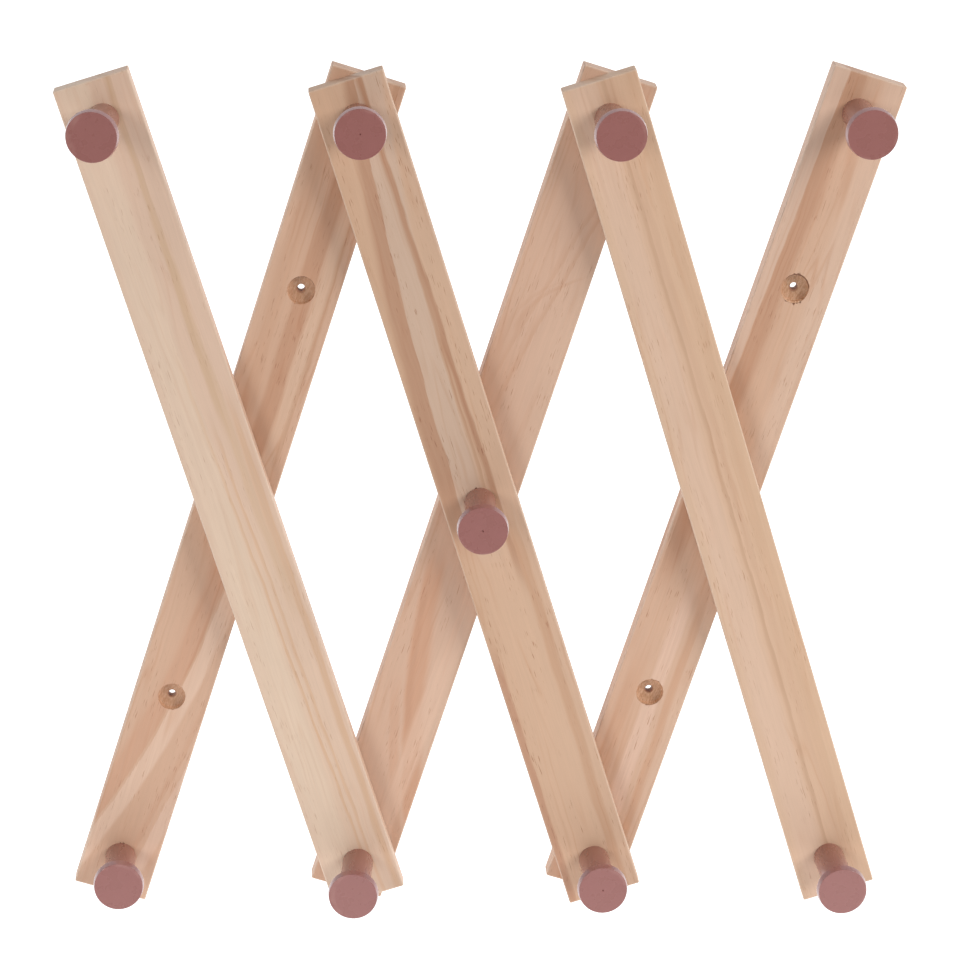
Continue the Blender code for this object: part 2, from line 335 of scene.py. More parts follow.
def pine(name, seed, ground, streaks, wander, lines, flecks, holes=0.0):
    """Make bare sanded pine whose grain runs along a slat's own Z axis.

    The ground is three colours, at the left edge, the middle and the right edge. wander is
    how far its grain strays in millimetres. lines, flecks and holes are the strengths of the
    latewood lines, the resin ducts and the drilled wood of the wall holes.
    """
    s = Shader(name)
    x, y, z = s.place_mm()

    # The grain wanders slowly along the slat, and slopes through its thickness.
    drift = s.noise(s.times(x, 0.008), seed, s.times(z, 0.010), detail=1.0)
    small = s.noise(s.times(x, 0.05), seed + 7, s.times(z, 0.030))
    shift = s.line(drift, 2 * wander, -wander)
    shift = s.plus(shift, s.line(small, 3.2, -1.6))
    across = s.plus(x, shift)
    across = s.line(s.plus(y, THICKNESS_MM), 0.55, across)
    side_to_side = s.line(across, MM / SLAT_WIDTH, 0.5, clamp=True)
    colour = s.ramp(side_to_side, list(zip((0.0, 0.5, 1.0), ground)))

    # Fine fibres, long and thin
    fibre = s.noise(s.times(across, 1.1), s.line(y, 1.1, seed), s.times(z, 0.018),
                    detail=3.0, rough=0.6)
    fine = s.noise(s.times(x, 3.2), s.line(y, 3.2, seed), s.times(z, 0.07), rough=0.6)
    ragged = s.plus(across, s.line(fine, 1.6, -0.8))
    broken = s.line(fibre, 0.9, 0.55)
    for streak in streaks:
        mask = s.times(s.times(streak_mask(s, streak, ragged, z), broken), streak.strength, clamp=True)
        colour = s.mix(mask, colour, streak.colour)

    # Thin lines of latewood that come and go, and part and join
    field = s.noise(s.times(across, 0.055), seed + 21, s.times(z, 0.0035))
    line = s.line(s.math("SINE", s.times(field, 75.0)), 0.5, 0.5)
    line = s.math("POWER", line, 5.0)
    patch = s.noise(s.times(across, 0.08), seed + 3, s.times(z, 0.012))
    line = s.times(s.times(line, s.remap(patch, 0.40, 0.68)), 0.5 * lines)
    line = s.times(line, s.line(fibre, 1.0, 0.5))
    colour = s.mix(line, colour, s.mix(1.0, colour, LATEWOOD, "MULTIPLY"))

    # Short dark dashes: resin ducts cut lengthways
    dash = s.noise(s.times(x, 1.9), s.line(y, 1.9, seed + 11), s.times(z, 0.13), detail=1.0)
    where = s.noise(s.times(across, 0.11), seed + 5, s.times(z, 0.016), detail=1.0)
    dash = s.times(s.remap(dash, 0.62, 0.72), s.remap(where, 0.46, 0.60))
    colour = s.mix(s.times(dash, 0.75 * flecks), colour, s.mix(1.0, colour, RESIN, "MULTIPLY"))

    # Fibres and a faint mottle lighten and darken everything a little
    mottle = s.noise(s.times(x, 0.12), seed + 9, s.times(z, 0.03), detail=3.0)
    shade = s.plus(s.line(fibre, 0.10, 0.90), s.line(fine, 0.10, -0.01))
    shade = s.plus(shade, s.line(mottle, 0.08, -0.035))
    value = s.node("HueSaturation")
    s.link(shade, value.inputs["Value"])
    s.link(colour, value.inputs["Color"])
    colour = value.outputs[0]

    # Sanded edges are paler, partly the sanded wood and partly painted highlight where the edges catch
    # the light; sawn ends are greyer, with torn fibres at their edge
    along = s.math("ABSOLUTE", z)
    from_side = s.math("SUBTRACT", 0.5 * SLAT_WIDTH / MM, s.math("ABSOLUTE", x))
    to_middle = s.math("ABSOLUTE", s.plus(y, 0.5 * THICKNESS_MM))
    from_face = s.math("SUBTRACT", 0.5 * THICKNESS_MM, to_middle)
    from_end = s.math("SUBTRACT", SLAT_HALF_LENGTH / MM, along)
    by_side = s.remap(from_side, 0.35, 1.1, 1.0, 0.0)
    by_face = s.remap(from_face, 0.35, 1.1, 1.0, 0.0)
    by_end = s.remap(from_end, 0.35, 1.3, 1.0, 0.0)
    edge = s.plus(s.times(by_side, by_face), s.times(by_end, by_face))
    edge = s.times(s.times(edge, s.line(fine, 0.8, 0.2)), 0.5, clamp=True)
    colour = s.mix(edge, colour, SANDED_EDGE_HIGHLIGHT)
    sawn = s.remap(from_end, 0.02, 0.2, 1.0, 0.0)
    pore = s.noise(s.times(x, 1.6), s.times(y, 1.6), seed, detail=3.0, rough=0.7)
    end_colour = s.mix(s.remap(pore, 0.4, 0.7), END_GRAIN_PALE, END_GRAIN_DARK)
    end_colour = s.mix(0.2, end_colour, colour)
    colour = s.mix(sawn, colour, end_colour)
    tuft = s.noise(s.times(x, 0.9), seed + 2, s.times(z, 0.4))
    torn = s.times(s.remap(tuft, 0.55, 0.72), s.remap(from_end, 1.0, 4.0, 1.0, 0.0))
    colour = s.mix(s.times(torn, 0.5), colour, TORN_END)

    height = s.plus(s.times(fibre, 0.5), s.times(fine, 0.5))
    height = s.math("SUBTRACT", height, s.times(dash, 0.8))
    # Painted shade: the walls of the peg seats, seen only where their mouth is nicked, are darkened as
    # the gap beside the stem is shaded
    to_hole = s.math("MINIMUM", along, s.math("ABSOLUTE", s.math("SUBTRACT", along, PIVOT_REACH / MM)))
    seat = s.times(s.remap(s.length(x, to_hole), 9.4, 9.8, 1.0, 0.0), s.remap(y, -8.5, -8.0, 1.0, 0.0))
    colour = s.mix(s.times(seat, s.remap(from_face, 0.08, 0.4)), colour, SEAT_SHADE)
    if holes:
        # Freshly drilled wood in the wall-screw pockets is redder, and rougher across the grain; the
        # bore and the torn mouth are darkened with painted shade
        radius = s.length(x, s.math("SUBTRACT", along, WALL_HOLE_REACH / MM))
        pocket = WALL_POCKET_RADIUS / MM
        bore = WALL_HOLE_RADIUS / MM
        inside = s.times(s.remap(radius, pocket + 1.5, pocket + 1.8, 1.0, 0.0),
                         s.remap(from_face, 0.05, 0.4))
        torn_wall = s.noise(s.times(x, 1.7), s.times(y, 0.25), s.times(z, 0.5),
                            detail=3.0, rough=0.7)
        drilled = s.mix(s.remap(torn_wall, 0.3, 0.7), DRILLED_DARK, DRILLED_PALE)
        # Painted shade: the bore's wall is darker than the pocket around it
        bore_shade = s.remap(radius, bore + 0.2, bore + 0.7, 1.0, 0.0)
        drilled = s.mix(bore_shade, drilled, BORE_SHADE)
        # Painted shadow in the splinters torn out round the pocket's mouth
        splinter_shade = s.remap(radius, pocket + 0.05, pocket + 0.4)
        drilled = s.mix(s.times(splinter_shade, 0.9), drilled, SPLINTER_SHADOW)
        colour = s.mix(s.times(inside, holes), colour, drilled)
        height = s.plus(height, s.times(s.times(inside, torn_wall), 2.5))
    s.link(colour, s.surface.inputs["Base Color"])
    s.link(s.line(fibre, 0.16, 0.50), s.surface.inputs["Roughness"])
    s.link(s.bump(height, 0.35, 0.00012), s.surface.inputs["Normal"])
    s.set(Specular_IOR_Level=0.45)
    return s.material


def rose_paint():
    """Make the satin paint of the pegs, thin enough for the turned wood to show a little."""
    s = Shader("dusty_rose_paint")
    x, y, z = s.place_mm()
    seed = s.times(s.node("ObjectInfo").outputs["Random"], 80.0)
    radius = s.length(x, y)

    mottle = s.noise(s.plus(s.times(x, 0.16), seed), s.times(y, 0.16), s.times(z, 0.05), detail=3.0)
    grain = s.noise(s.plus(s.times(x, 1.5), seed), s.times(y, 0.35), s.times(z, 0.06),
                    detail=3.0, rough=0.6)
    turning = s.noise(s.times(z, 2.2), s.times(radius, 0.4), seed)
    speck = s.noise(s.plus(s.times(x, 1.1), seed), s.times(y, 1.1), s.times(z, 1.1), detail=1.0)

    colour = s.mix(s.remap(mottle, 0.25, 0.75), ROSE_SHADE, ROSE)
    colour = s.mix(s.times(s.remap(grain, 0.3, 0.8), 0.08), colour, ROSE_GRAIN)
    # The stem is browner towards its foot: partly thin paint, partly painted bounce light from the
    # pine it stands on.
    thin_and_bounce = s.times(s.remap(z, -38.0, -8.0, 1.0, 0.0), s.line(grain, 0.5, 0.45))
    colour = s.mix(thin_and_bounce, colour, THIN_PAINT_AND_BOUNCE)
    colour = s.mix(s.times(s.remap(speck, 0.72, 0.80), 0.15), colour, PALE_SPECK)
    # The paint has rubbed thin round the crisp edge of the head.
    rubbed = s.times(s.remap(radius, (HEAD_RADIUS - 0.0006) / MM, HEAD_RADIUS / MM),
                     s.remap(mottle, 0.4, 0.65))
    colour = s.mix(s.times(rubbed, 0.18), colour, RUBBED_EDGE)
    s.link(colour, s.surface.inputs["Base Color"])
    s.link(s.line(mottle, 0.12, 0.22), s.surface.inputs["Roughness"])
    height = s.plus(s.times(grain, 0.6), s.times(turning, 0.5))
    height = s.plus(height, s.times(mottle, 0.3))
    s.link(s.bump(height, 0.16, 0.00010), s.surface.inputs["Normal"])
    s.set(Coat_Weight=0.30, Coat_Roughness=0.22)
    return s.material


def zinc_steel():
    """Make bright zinc plating with fine turning marks and a dull bloom."""
    s = Shader("bright_zinc")
    place = s.node("TexCoord").outputs["Object"]
    split = s.node("SeparateXYZ")
    s.link(place, split.inputs[0])
    x, y, z = split.outputs
    seed = s.times(s.node("ObjectInfo").outputs["Random"], 50.0)
    radius = s.length(x, y)
    ring = s.noise(s.times(radius, 9000.0), seed, s.times(z, 2500.0))
    bloom = s.noise(s.line(x, 260.0, seed), s.times(y, 260.0), s.times(z, 260.0),
                    detail=4.0, rough=0.6)
    colour = s.mix(s.remap(bloom, 0.35, 0.7), ZINC_PALE, ZINC_DULL)
    s.link(colour, s.surface.inputs["Base Color"])
    s.link(s.line(bloom, 0.25, 0.24), s.surface.inputs["Roughness"])
    s.link(s.bump(ring, 0.25, 0.00003), s.surface.inputs["Normal"])
    s.set(Metallic=1.0)
    return s.material


# ---------------------------------------------------------------------------
# Meshes
# ---------------------------------------------------------------------------


def lathe(name, outline, sides, reach=None):
    """Turn an outline of (radius, height) points about Z, closed at the axis or on itself.

    reach(index, angle) may give a factor on the radius of a ring, for an uneven edge.
    """
    mesh = bpy.data.meshes.new(name)
    body = bmesh.new()
    rings = []
    for index, (radius, height) in enumerate(outline):
        if radius == 0:
            rings.append([body.verts.new((0, 0, height))])
            continue
        ring = []
        for side in range(sides):
            angle = 2 * math.pi * side / sides
            r = radius * (reach(index, angle) if reach else 1.0)
            ring.append(body.verts.new((r * math.cos(angle), r * math.sin(angle), height)))
        rings.append(ring)
    pairs = list(zip(rings, rings[1:]))
    if outline[0][0] != 0:
        pairs.append((rings[-1], rings[0]))
    for first, second in pairs:
        for side in range(sides):
            after = (side + 1) % sides
            corners = [first[side % len(first)], second[side % len(second)],
                       second[after % len(second)], first[after % len(first)]]
            unique = list(dict.fromkeys(corners))
            if len(unique) > 2:
                body.faces.new(unique)
    bmesh.ops.recalc_face_normals(body, faces=body.faces)
    body.to_mesh(mesh)
    body.free()
    return mesh


def arc(centre_radius, centre_height, radius, start, end, steps):
    """Give points round an arc, in degrees from outward towards +Z."""
    points = []
    for step in range(steps + 1):
        angle = math.radians(start + (end - start) * step / steps)
        points.append((centre_radius + radius * math.cos(angle),
                       centre_height + radius * math.sin(angle)))
    return points


def add_object(name, mesh):
    made = bpy.data.objects.new(name, mesh)
    bpy.context.scene.collection.objects.link(made)
    return made


def apply_modifiers(obj):
    """Put an object's evaluated mesh in place of its mesh."""
    evaluated = obj.evaluated_get(bpy.context.evaluated_depsgraph_get())
    mesh = bpy.data.meshes.new_from_object(evaluated)
    obj.modifiers.clear()
    obj.data = mesh


def carve(obj, tool, use_self=False):
    """Cut a tool's shape out of an object, and remove the tool."""
    boolean = obj.modifiers.new("cut", "BOOLEAN")
    boolean.operation = "DIFFERENCE"
    boolean.solver = "EXACT"
    boolean.use_self = use_self
    boolean.object = tool
    apply_modifiers(obj)
    bpy.data.objects.remove(tool)


def smooth(obj, angle):
    """Shade smooth up to an angle, with large faces kept flat."""
    obj.data.shade_smooth()
    obj.data.set_sharp_from_angle(angle=math.radians(angle))
    weighted = obj.modifiers.new("weighted", "WEIGHTED_NORMAL")
    weighted.keep_sharp = True
    apply_modifiers(obj)


def finished_mesh(obj, angle):
    """Shade an object, and keep only its mesh."""
    smooth(obj, angle)
    mesh = obj.data
    bpy.data.objects.remove(obj)
    return mesh


def settle(obj, node, material):
    """Give a finished piece its finish, and let it stand for its CAD node."""
    obj.data.materials.clear()
    obj.data.materials.append(material)
    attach(obj, frame["nodes"][node]["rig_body"])
    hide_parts(node)


# A turned piece's own +Z stands forward from the wall.
FORWARD = Matrix.Rotation(math.pi / 2, 4, "X")


# ---------------------------------------------------------------------------
# Slats
# ---------------------------------------------------------------------------


def torn_mouth(seed, stretch, splinters):
    """Give the reach function of a hole whose mouth is torn along the grain.

    stretch lengthens the mouth along the grain. Each splinter is an angle and a half width in
    degrees, and a length as a share of the radius.
    """

    def reach(index, angle):
        if index not in MOUTH_RINGS:
            return 1.0
        factor = 1.0 + stretch * math.sin(angle) ** 2
        factor += 0.006 * math.sin(angle * 5 + seed) + 0.004 * math.sin(angle * 17 + seed * 3)
        for centre, width, length in splinters:
            off = (math.degrees(angle) - centre + 180) % 360 - 180
            factor += length * max(0.0, 1 - abs(off) / width)
        return factor

    return reach


def cut(slat, outline, height, reach):
    """Cut a turned hole through a slat, on its centre line. Outline depths run forward."""
    cutter = add_object("cutter", lathe("cutter", outline, TORN_SIDES if reach else HOLE_SIDES, reach))
    cutter.matrix_world = Matrix.Translation((0, 0, height)) @ FORWARD
    carve(slat, cutter)


def fixing_pocket():
    """Outline the end of a hole where it opens at the back for a screw's head and washer."""
    mouth = FIXING_POCKET_RADIUS + MOUTH_BREAK
    return [(FIXING_POCKET_RADIUS, FIXING_POCKET_DEPTH), (FIXING_POCKET_RADIUS, MOUTH_BREAK),
            (mouth, 0.0), (mouth, -MM), (0, -MM)]


def peg_hole(has_seat, has_pocket):
    """Outline a peg's hole. It may have a seat for the stem and a pocket for the screw."""
    front = SLAT_THICKNESS + MM
    if has_seat:
        floor = SLAT_THICKNESS - SEAT_DEPTH
        outline = [(0, front), (SEAT_RADIUS, front), (SEAT_RADIUS, SLAT_THICKNESS - MOUTH_BREAK),
                   (SEAT_RADIUS, floor), (BORE_RADIUS, floor)]
    else:
        outline = [(0, front), (BORE_RADIUS, front)]
    if has_pocket:
        outline += [(BORE_RADIUS, FIXING_POCKET_DEPTH)] + fixing_pocket()
    else:
        outline += [(BORE_RADIUS, -MM), (0, -MM)]
    return outline


def wall_hole():
    """Outline a wall-screw hole: a pocket with a shallow cone, and a clear hole behind it."""
    mouth = WALL_POCKET_RADIUS + 0.00012
    floor = SLAT_THICKNESS - WALL_POCKET_DEPTH
    cone_end = floor - WALL_POCKET_CONE
    return [(0, SLAT_THICKNESS + MM), (mouth, SLAT_THICKNESS + MM),
            (mouth, SLAT_THICKNESS - 0.0001), (WALL_POCKET_RADIUS, SLAT_THICKNESS - 0.0009),
            (WALL_POCKET_RADIUS, floor + 0.0004), (WALL_POCKET_RADIUS - 0.0005, floor),
            (WALL_HOLE_RADIUS + 0.0001, cone_end), (WALL_HOLE_RADIUS, cone_end - 0.0003),
            (WALL_HOLE_RADIUS, -MM), (0, -MM)]


def pilot_hole():
    """Outline the blind hole that a hidden pivot screw bites into."""
    return [(0, PILOT_DEPTH + PILOT_RADIUS), (PILOT_RADIUS, PILOT_DEPTH),
            (PILOT_RADIUS, -MM), (0, -MM)]


def pivot_bore():
    """Outline the hole behind a hidden pivot, with a pocket for the screw's head."""
    front = SLAT_THICKNESS + MM
    bore = [(0, front), (SCREW_BORE_RADIUS, front), (SCREW_BORE_RADIUS, FIXING_POCKET_DEPTH)]
    return bore + fixing_pocket()


def build_slat(node, lean, holes, material):
    """Build a slat with its holes, given from its middle, and stand it where its CAD node is."""
    low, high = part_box(node)
    mesh = bpy.data.meshes.new(node + "_fine")
    block = bmesh.new()
    bmesh.ops.create_cube(block, size=1.0)
    size = (SLAT_WIDTH - 2 * SANDED_OFF, SLAT_THICKNESS, 2 * SLAT_HALF_LENGTH - 3 * SANDED_OFF)
    bmesh.ops.scale(block, vec=size, verts=block.verts)
    bmesh.ops.translate(block, vec=(0, -SLAT_THICKNESS / 2, 0), verts=block.verts)
    block.to_mesh(mesh)
    block.free()
    slat = add_object(node + "_fine", mesh)
    bevel = slat.modifiers.new("sanded", "BEVEL")
    bevel.width = EDGE_BREAK
    bevel.segments = 4
    bevel.limit_method = "ANGLE"
    apply_modifiers(slat)
    for outline, height, reach in holes:
        cut(slat, outline, height, reach)
    smooth(slat, SLAT_CORNER)
    middle = (low + high) / 2
    slat.matrix_world = (Matrix.Translation((middle.x, high.y, middle.z))
                         @ Matrix.Rotation(lean, 4, "Y"))
    settle(slat, node, material)


# ---------------------------------------------------------------------------
# Pegs and fixings
# ---------------------------------------------------------------------------


def peg_outline(length, has_centre_mark):
    """Outline a peg from its flat end at height 0 down to its tenon's end at -length."""
    rounding = HEAD_EDGE_ROUNDING
    back = -HEAD_THICKNESS
    if has_centre_mark:
        outline = [(0, -0.0006), (0.0002, -0.0005), (0.0005, 0.0)]
    else:
        outline = [(0, 0)]
    outline += [(0.004, 0.0), (0.009, 0.0)]
    outline += arc(HEAD_FACE_RADIUS - rounding, -rounding, rounding, 90, 8, 4)
    outline += [(HEAD_RADIUS - 0.0001, 0.6 * back)]
    outline += arc(HEAD_RADIUS - 0.0005, back + 0.0005, 0.0005, 8, -90, 5)
    outline += arc(STEM_RADIUS + COVE_RADIUS, back - COVE_RADIUS, COVE_RADIUS, 90, 180, 10)
    steps = 10
    top = back - COVE_RADIUS
    for step in range(1, steps + 1):
        # A hand-sanded stem is never quite straight.
        share = step / steps
        waver = 0.00006 * math.sin(9 * share)
        outline.append((STEM_RADIUS + waver, top + (PEG_SHOULDER - top) * share))
    pilot_end = PEG_PILOT_LENGTH - length
    outline += [(TENON_RADIUS, PEG_SHOULDER), (TENON_RADIUS, -length), (PILOT_RADIUS, -length),
                (PILOT_RADIUS, pilot_end), (0, pilot_end + PILOT_RADIUS)]
    return outline


def build_peg(place_name, lean_across, lean_up, has_centre_mark, material):
    """Build a peg where its CAD node is. Its stem leans a little, in degrees, from its seat on."""
    node = "peg_" + place_name
    low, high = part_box(node)
    length = high.y - low.y
    mesh = lathe(node + "_fine", peg_outline(length, has_centre_mark), PEG_SIDES)
    lean = (Matrix.Rotation(math.radians(lean_across), 4, "Y")
            @ Matrix.Rotation(math.radians(-lean_up), 4, "X"))
    seat = Matrix.Translation((0, 0, -PEG_PROJECTION))
    turn = seat @ lean @ seat.inverted()
    for vertex in mesh.vertices:
        on_stem = (vertex.co.z > PEG_SHOULDER - 0.00001
                   and vertex.co.xy.length > TENON_RADIUS + 0.0001)
        if on_stem or vertex.co.z > -0.02:
            vertex.co = turn @ vertex.co
    ahead = max(vertex.co.z for vertex in mesh.vertices)
    for vertex in mesh.vertices:
        # The leaning head stays behind the plane of the straight one.
        share = min(max((vertex.co.z + PEG_PROJECTION) / (0.5 * PEG_PROJECTION), 0.0), 1.0)
        vertex.co.z -= ahead * share
    peg = add_object(node + "_fine", mesh)
    smooth(peg, PEG_CORNER)
    middle = (low + high) / 2
    peg.matrix_world = Matrix.Translation((middle.x, low.y, middle.z)) @ FORWARD
    settle(peg, node, material)


def cross_recess():
    """Make a tapered cross that cuts a screw's drive recess, its point forward."""
    mesh = bpy.data.meshes.new("recess")
    cross = bmesh.new()
    for turn in (0, math.pi / 2):
        made = bmesh.ops.create_cone(cross, cap_ends=True, segments=4,
                                     radius1=0.0017, radius2=0.0004, depth=0.0022)
        bmesh.ops.rotate(cross, verts=made["verts"], matrix=Matrix.Rotation(math.pi / 4, 3, "Z"))
        bmesh.ops.scale(cross, verts=made["verts"], vec=(1.7, 0.36, 1))
        bmesh.ops.rotate(cross, verts=made["verts"], matrix=Matrix.Rotation(turn, 3, "Z"))
    cross.to_mesh(mesh)
    cross.free()
    return mesh


def screw_mesh(length):
    """Make a pan-head screw whose head's flat side is at height 0, its point forward."""
    rear = -SCREW_HEAD_THICKNESS
    rounding = 0.0009
    outline = [(0, length), (0.0006, length - 0.0012), (SCREW_RADIUS, length - 0.0036)]
    outline += [(SCREW_RADIUS, 0.0), (SCREW_HEAD_RADIUS, 0.0)]
    outline += arc(SCREW_HEAD_RADIUS - rounding, rear + rounding, rounding, 0, -90, 6)
    outline += [(0.6 * SCREW_HEAD_RADIUS, rear), (0, rear)]
    screw = add_object("screw", lathe("screw", outline, SCREW_SIDES))
    tool = add_object("recess", cross_recess())
    tool.matrix_world = Matrix.Translation((0, 0, rear + 0.0008))
    carve(screw, tool, use_self=True)
    return finished_mesh(screw, SCREW_CORNER)


def washer_mesh():
    """Make a stamped washer with one rounded face, from height 0 back."""
    rear = -WASHER_THICKNESS
    outline = [(WASHER_RADIUS - 0.0001, 0.0), (WASHER_RADIUS, -0.0001)]
    outline += arc(WASHER_RADIUS - 0.0004, rear + 0.0004, 0.0004, 0, -90, 5)
    outline += [(WASHER_HOLE_RADIUS + 0.00015, rear), (WASHER_HOLE_RADIUS, rear + 0.00015),
                (WASHER_HOLE_RADIUS, 0.0)]
    washer = add_object("washer", lathe("washer", outline, WASHER_SIDES))
    return finished_mesh(washer, PEG_CORNER)


def build_fixing(node, mesh, turn, material, seat_at_front):
    """Stand a screw or a washer where its CAD node is, turned about its own axis."""
    low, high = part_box(node)
    middle = (low + high) / 2
    depth = low.y if seat_at_front else high.y - SCREW_HEAD_THICKNESS
    piece = add_object(node + "_fine", mesh)
    piece.matrix_world = (Matrix.Translation((middle.x, depth, middle.z)) @ FORWARD
                          @ Matrix.Rotation(math.radians(turn), 4, "Z"))
    settle(piece, node, material)


# ---------------------------------------------------------------------------
# The six kinds of pine
# ---------------------------------------------------------------------------


def pine_materials():
    """Make the six slats' pine, each with its own bands and streaks."""
    plain = [
        Streak(srgb(215, 184, 163), 0.6, 0.0, 30.0, soft_left=4.0, soft_right=4.0, start=20,
               fade=60.0),
        Streak(srgb(203, 170, 141), 0.75, 7.6, 1.6, slope=0.3, soft_left=2.2, soft_right=1.0,
               start=60),
        Streak(srgb(206, 173, 143), 0.6, 10.2, 2.2, slope=-1.4, soft_left=2.5, soft_right=2.0,
               start=-40, end=120),
        Streak(srgb(209, 170, 138), 0.7, -1.0, 0.5, slope=-2.6, soft_left=1.4, soft_right=0.5,
               end=60),
        Streak(srgb(209, 170, 138), 0.6, 3.4, 0.5, slope=-1.7, bow=0.3, soft_left=1.6,
               soft_right=0.5, end=20),
        Streak(srgb(206, 168, 137), 0.7, 14.4, 1.8, slope=-0.6, soft_left=2.0, soft_right=1.4,
               end=30),
        Streak(srgb(222, 200, 178), 0.5, -9.0, 10.0, soft_left=5.0, soft_right=5.0),
    ]
    banded = [
        Streak(srgb(184, 142, 115), 0.95, -13.2, 6.0, slope=0.54, bow=3.26, soft_left=5.0,
               soft_right=0.5, start=0),
        Streak(srgb(202, 173, 152), 0.95, -4.2, 11.2, slope=0.54, bow=2.6, soft_left=0.5,
               soft_right=3.0, start=-8),
        Streak(srgb(181, 138, 110), 0.95, 8.8, 1.0, slope=-0.9, soft_left=3.2, soft_right=1.0,
               start=-25),
        Streak(srgb(184, 142, 113), 0.7, 4.4, 0.6, slope=1.2, soft_left=1.4, soft_right=0.6,
               start=20, end=110),
        Streak(srgb(194, 152, 122), 0.7, 12.5, 3.0, slope=0.6, soft_left=2.5, soft_right=1.5,
               end=-30),
        Streak(srgb(188, 142, 115), 0.9, -17.5, 3.4, slope=-0.2, soft_left=2.0, soft_right=1.0,
               end=-100),
        Streak(srgb(208, 172, 145), 0.6, -4.0, 12.0, slope=1.0, soft_left=5.0, soft_right=5.0,
               end=-45),
    ]
    even = [
        Streak(srgb(192, 154, 126), 0.6, 2.6, 0.7, slope=0.2, bow=-0.25, soft_left=1.8,
               soft_right=0.7),
        Streak(srgb(204, 167, 140), 0.5, 6.2, 1.2, slope=-0.8, soft_left=2.5, soft_right=2.0),
        Streak(srgb(217, 186, 165), 0.5, -8.0, 8.0, soft_left=5.0, soft_right=5.0),
        Streak(srgb(204, 167, 138), 0.5, 13.0, 2.5, slope=0.9, soft_left=3.0, soft_right=2.0),
    ]
    streaked = [
        Streak(srgb(198, 155, 127), 0.5, -8.0, 3.5, slope=-2.2, soft_left=4.5, soft_right=3.5,
               start=20),
        Streak(srgb(193, 148, 120), 0.9, 2.2, 6.4, slope=0.2, soft_left=2.5, soft_right=1.4,
               start=15),
        Streak(srgb(213, 179, 154), 0.7, 10.0, 4.5, slope=0.8, soft_left=1.6, soft_right=2.5,
               start=0),
        Streak(srgb(192, 148, 118), 0.5, 13.6, 1.0, slope=0.6, soft_left=2.0, soft_right=0.8,
               start=40),
        Streak(srgb(203, 159, 132), 0.95, 4.3, 7.0, slope=-5.4, bow=-10.2, soft_left=5.0,
               soft_right=0.5, end=-35),
        Streak(srgb(221, 189, 167), 0.8, 12.8, 6.6, slope=-5.4, bow=-10.2, soft_left=0.5,
               soft_right=2.5, end=-50),
        Streak(srgb(201, 158, 131), 0.6, 23.0, 1.0, slope=-3.0, bow=-6.0, soft_left=3.0,
               soft_right=0.5, end=-110),
        Streak(srgb(216, 183, 162), 0.8, 29.5, 5.0, slope=-3.0, bow=-6.0, soft_left=0.5,
               soft_right=2.0, end=-120),
    ]
    figured = [
        Streak(srgb(199, 155, 128), 0.5, -15.0, 5.0, slope=-1.0, soft_left=2.0, soft_right=4.0,
               start=20, end=75),
        Streak(srgb(198, 155, 128), 0.5, -13.5, 0.6, slope=13.0, bow=2.5, soft_left=2.4,
               soft_right=0.6, start=55, end=150),
        Streak(srgb(198, 155, 128), 0.4, -22.0, 0.6, slope=14.0, bow=3.5, soft_left=2.4,
               soft_right=0.6, start=70, end=170),
        Streak(srgb(203, 157, 129), 0.95, -13.4, 6.0, slope=-2.5, bow=9.4, soft_left=3.0,
               soft_right=5.0, end=-50, fade=25.0),
        Streak(srgb(193, 146, 118), 0.5, -15.5, 1.2, slope=-2.5, bow=9.4, soft_left=1.4,
               soft_right=2.4, start=-120, end=-66, fade=22.0),
        Streak(srgb(203, 159, 132), 0.6, -24.0, 3.0, slope=-2.5, bow=10.0, soft_left=2.0,
               soft_right=3.0, end=-130),
        Streak(srgb(196, 151, 123), 0.32, 162.0, 0.6, slope=-379.7, bow=211.0, soft_left=2.2,
               soft_right=1.2, start=92, end=118, fade=8.0),
        Streak(srgb(196, 151, 123), 0.2, 158.5, 0.5, slope=-379.7, bow=211.0, soft_left=2.0,
               soft_right=1.0, start=95, end=112, fade=10.0),
        Streak(srgb(201, 158, 131), 0.5, -9.0, 4.0, slope=3.0, soft_left=4.0, soft_right=4.0,
               start=35, end=60, fade=30.0),
        Streak(srgb(219, 184, 161), 0.7, 15.0, 6.0, slope=3.5, soft_left=4.0, soft_right=3.0,
               end=-60),
    ]
    edged = [
        Streak(srgb(212, 180, 159), 0.9, -21.2, 7.4, slope=3.2, soft_left=2.0, soft_right=0.8,
               start=15),
        Streak(srgb(192, 147, 119), 0.9, -13.0, 5.4, slope=2.6, soft_left=0.8, soft_right=6.0,
               start=-30),
        Streak(srgb(214, 182, 160), 0.7, 14.0, 6.0, soft_left=5.0, soft_right=2.0, start=0),
        Streak(srgb(201, 154, 124), 0.5, -11.0, 5.0, slope=-0.5, soft_left=3.0, soft_right=3.0,
               end=-115),
        Streak(srgb(221, 187, 166), 0.8, 1.5, 4.5, slope=-1.0, soft_left=4.0, soft_right=2.0,
               end=-75),
        Streak(srgb(202, 158, 129), 0.8, 9.0, 2.2, slope=-1.8, soft_left=2.0, soft_right=2.5,
               end=-70),
    ]
